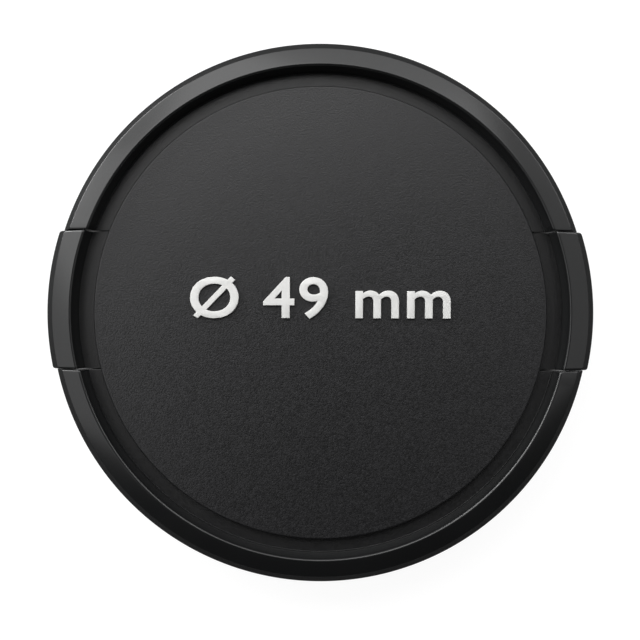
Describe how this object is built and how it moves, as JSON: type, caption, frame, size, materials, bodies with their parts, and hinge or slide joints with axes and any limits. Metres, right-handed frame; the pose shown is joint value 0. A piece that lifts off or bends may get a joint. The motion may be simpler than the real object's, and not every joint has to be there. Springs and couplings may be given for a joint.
{
  "type": "camera lens cap",
  "caption": "Round side-pinch lens cap: sloping rim, recessed textured front plate, and two sprung latches whose rear claws grip a lens's filter thread.",
  "frame": {"origin": "middle of the cap's back, on the surface that it lies on", "axes": "+Z out of the front face, +X towards the right latch seen from the front with +Y up"},
  "size_m": [0.0524, 0.0516, 0.0081],
  "materials": {
    "moulded_black": "satin black moulded ABS",
    "textured_black": "fine-grained matte black moulded ABS",
    "latch_black": "satin black moulded ABS",
    "spring_steel": "bright drawn steel wire",
    "mark_white": "satin white pad print on the raised size mark"
  },
  "bodies": {
    "cap": {"cap_body": "moulded_black", "front_plate": "textured_black", "left_spring": "spring_steel", "right_spring": "spring_steel"},
    "left_latch": {"left_latch": "latch_black"},
    "right_latch": {"right_latch": "latch_black"}
  },
  "joints": [
    {"name": "left_latch_slide", "type": "slide", "parent": "cap", "child": "left_latch", "axis": [1, 0, 0], "range_m": [0, 0.0013], "stiffness_N_per_m": 900, "springref_m": -0.0025, "deforming": ["left_spring"]},
    {"name": "right_latch_slide", "type": "slide", "parent": "cap", "child": "right_latch", "axis": [-1, 0, 0], "range_m": [0, 0.0013], "stiffness_N_per_m": 900, "springref_m": -0.0025, "deforming": ["right_spring"]}
  ]
}
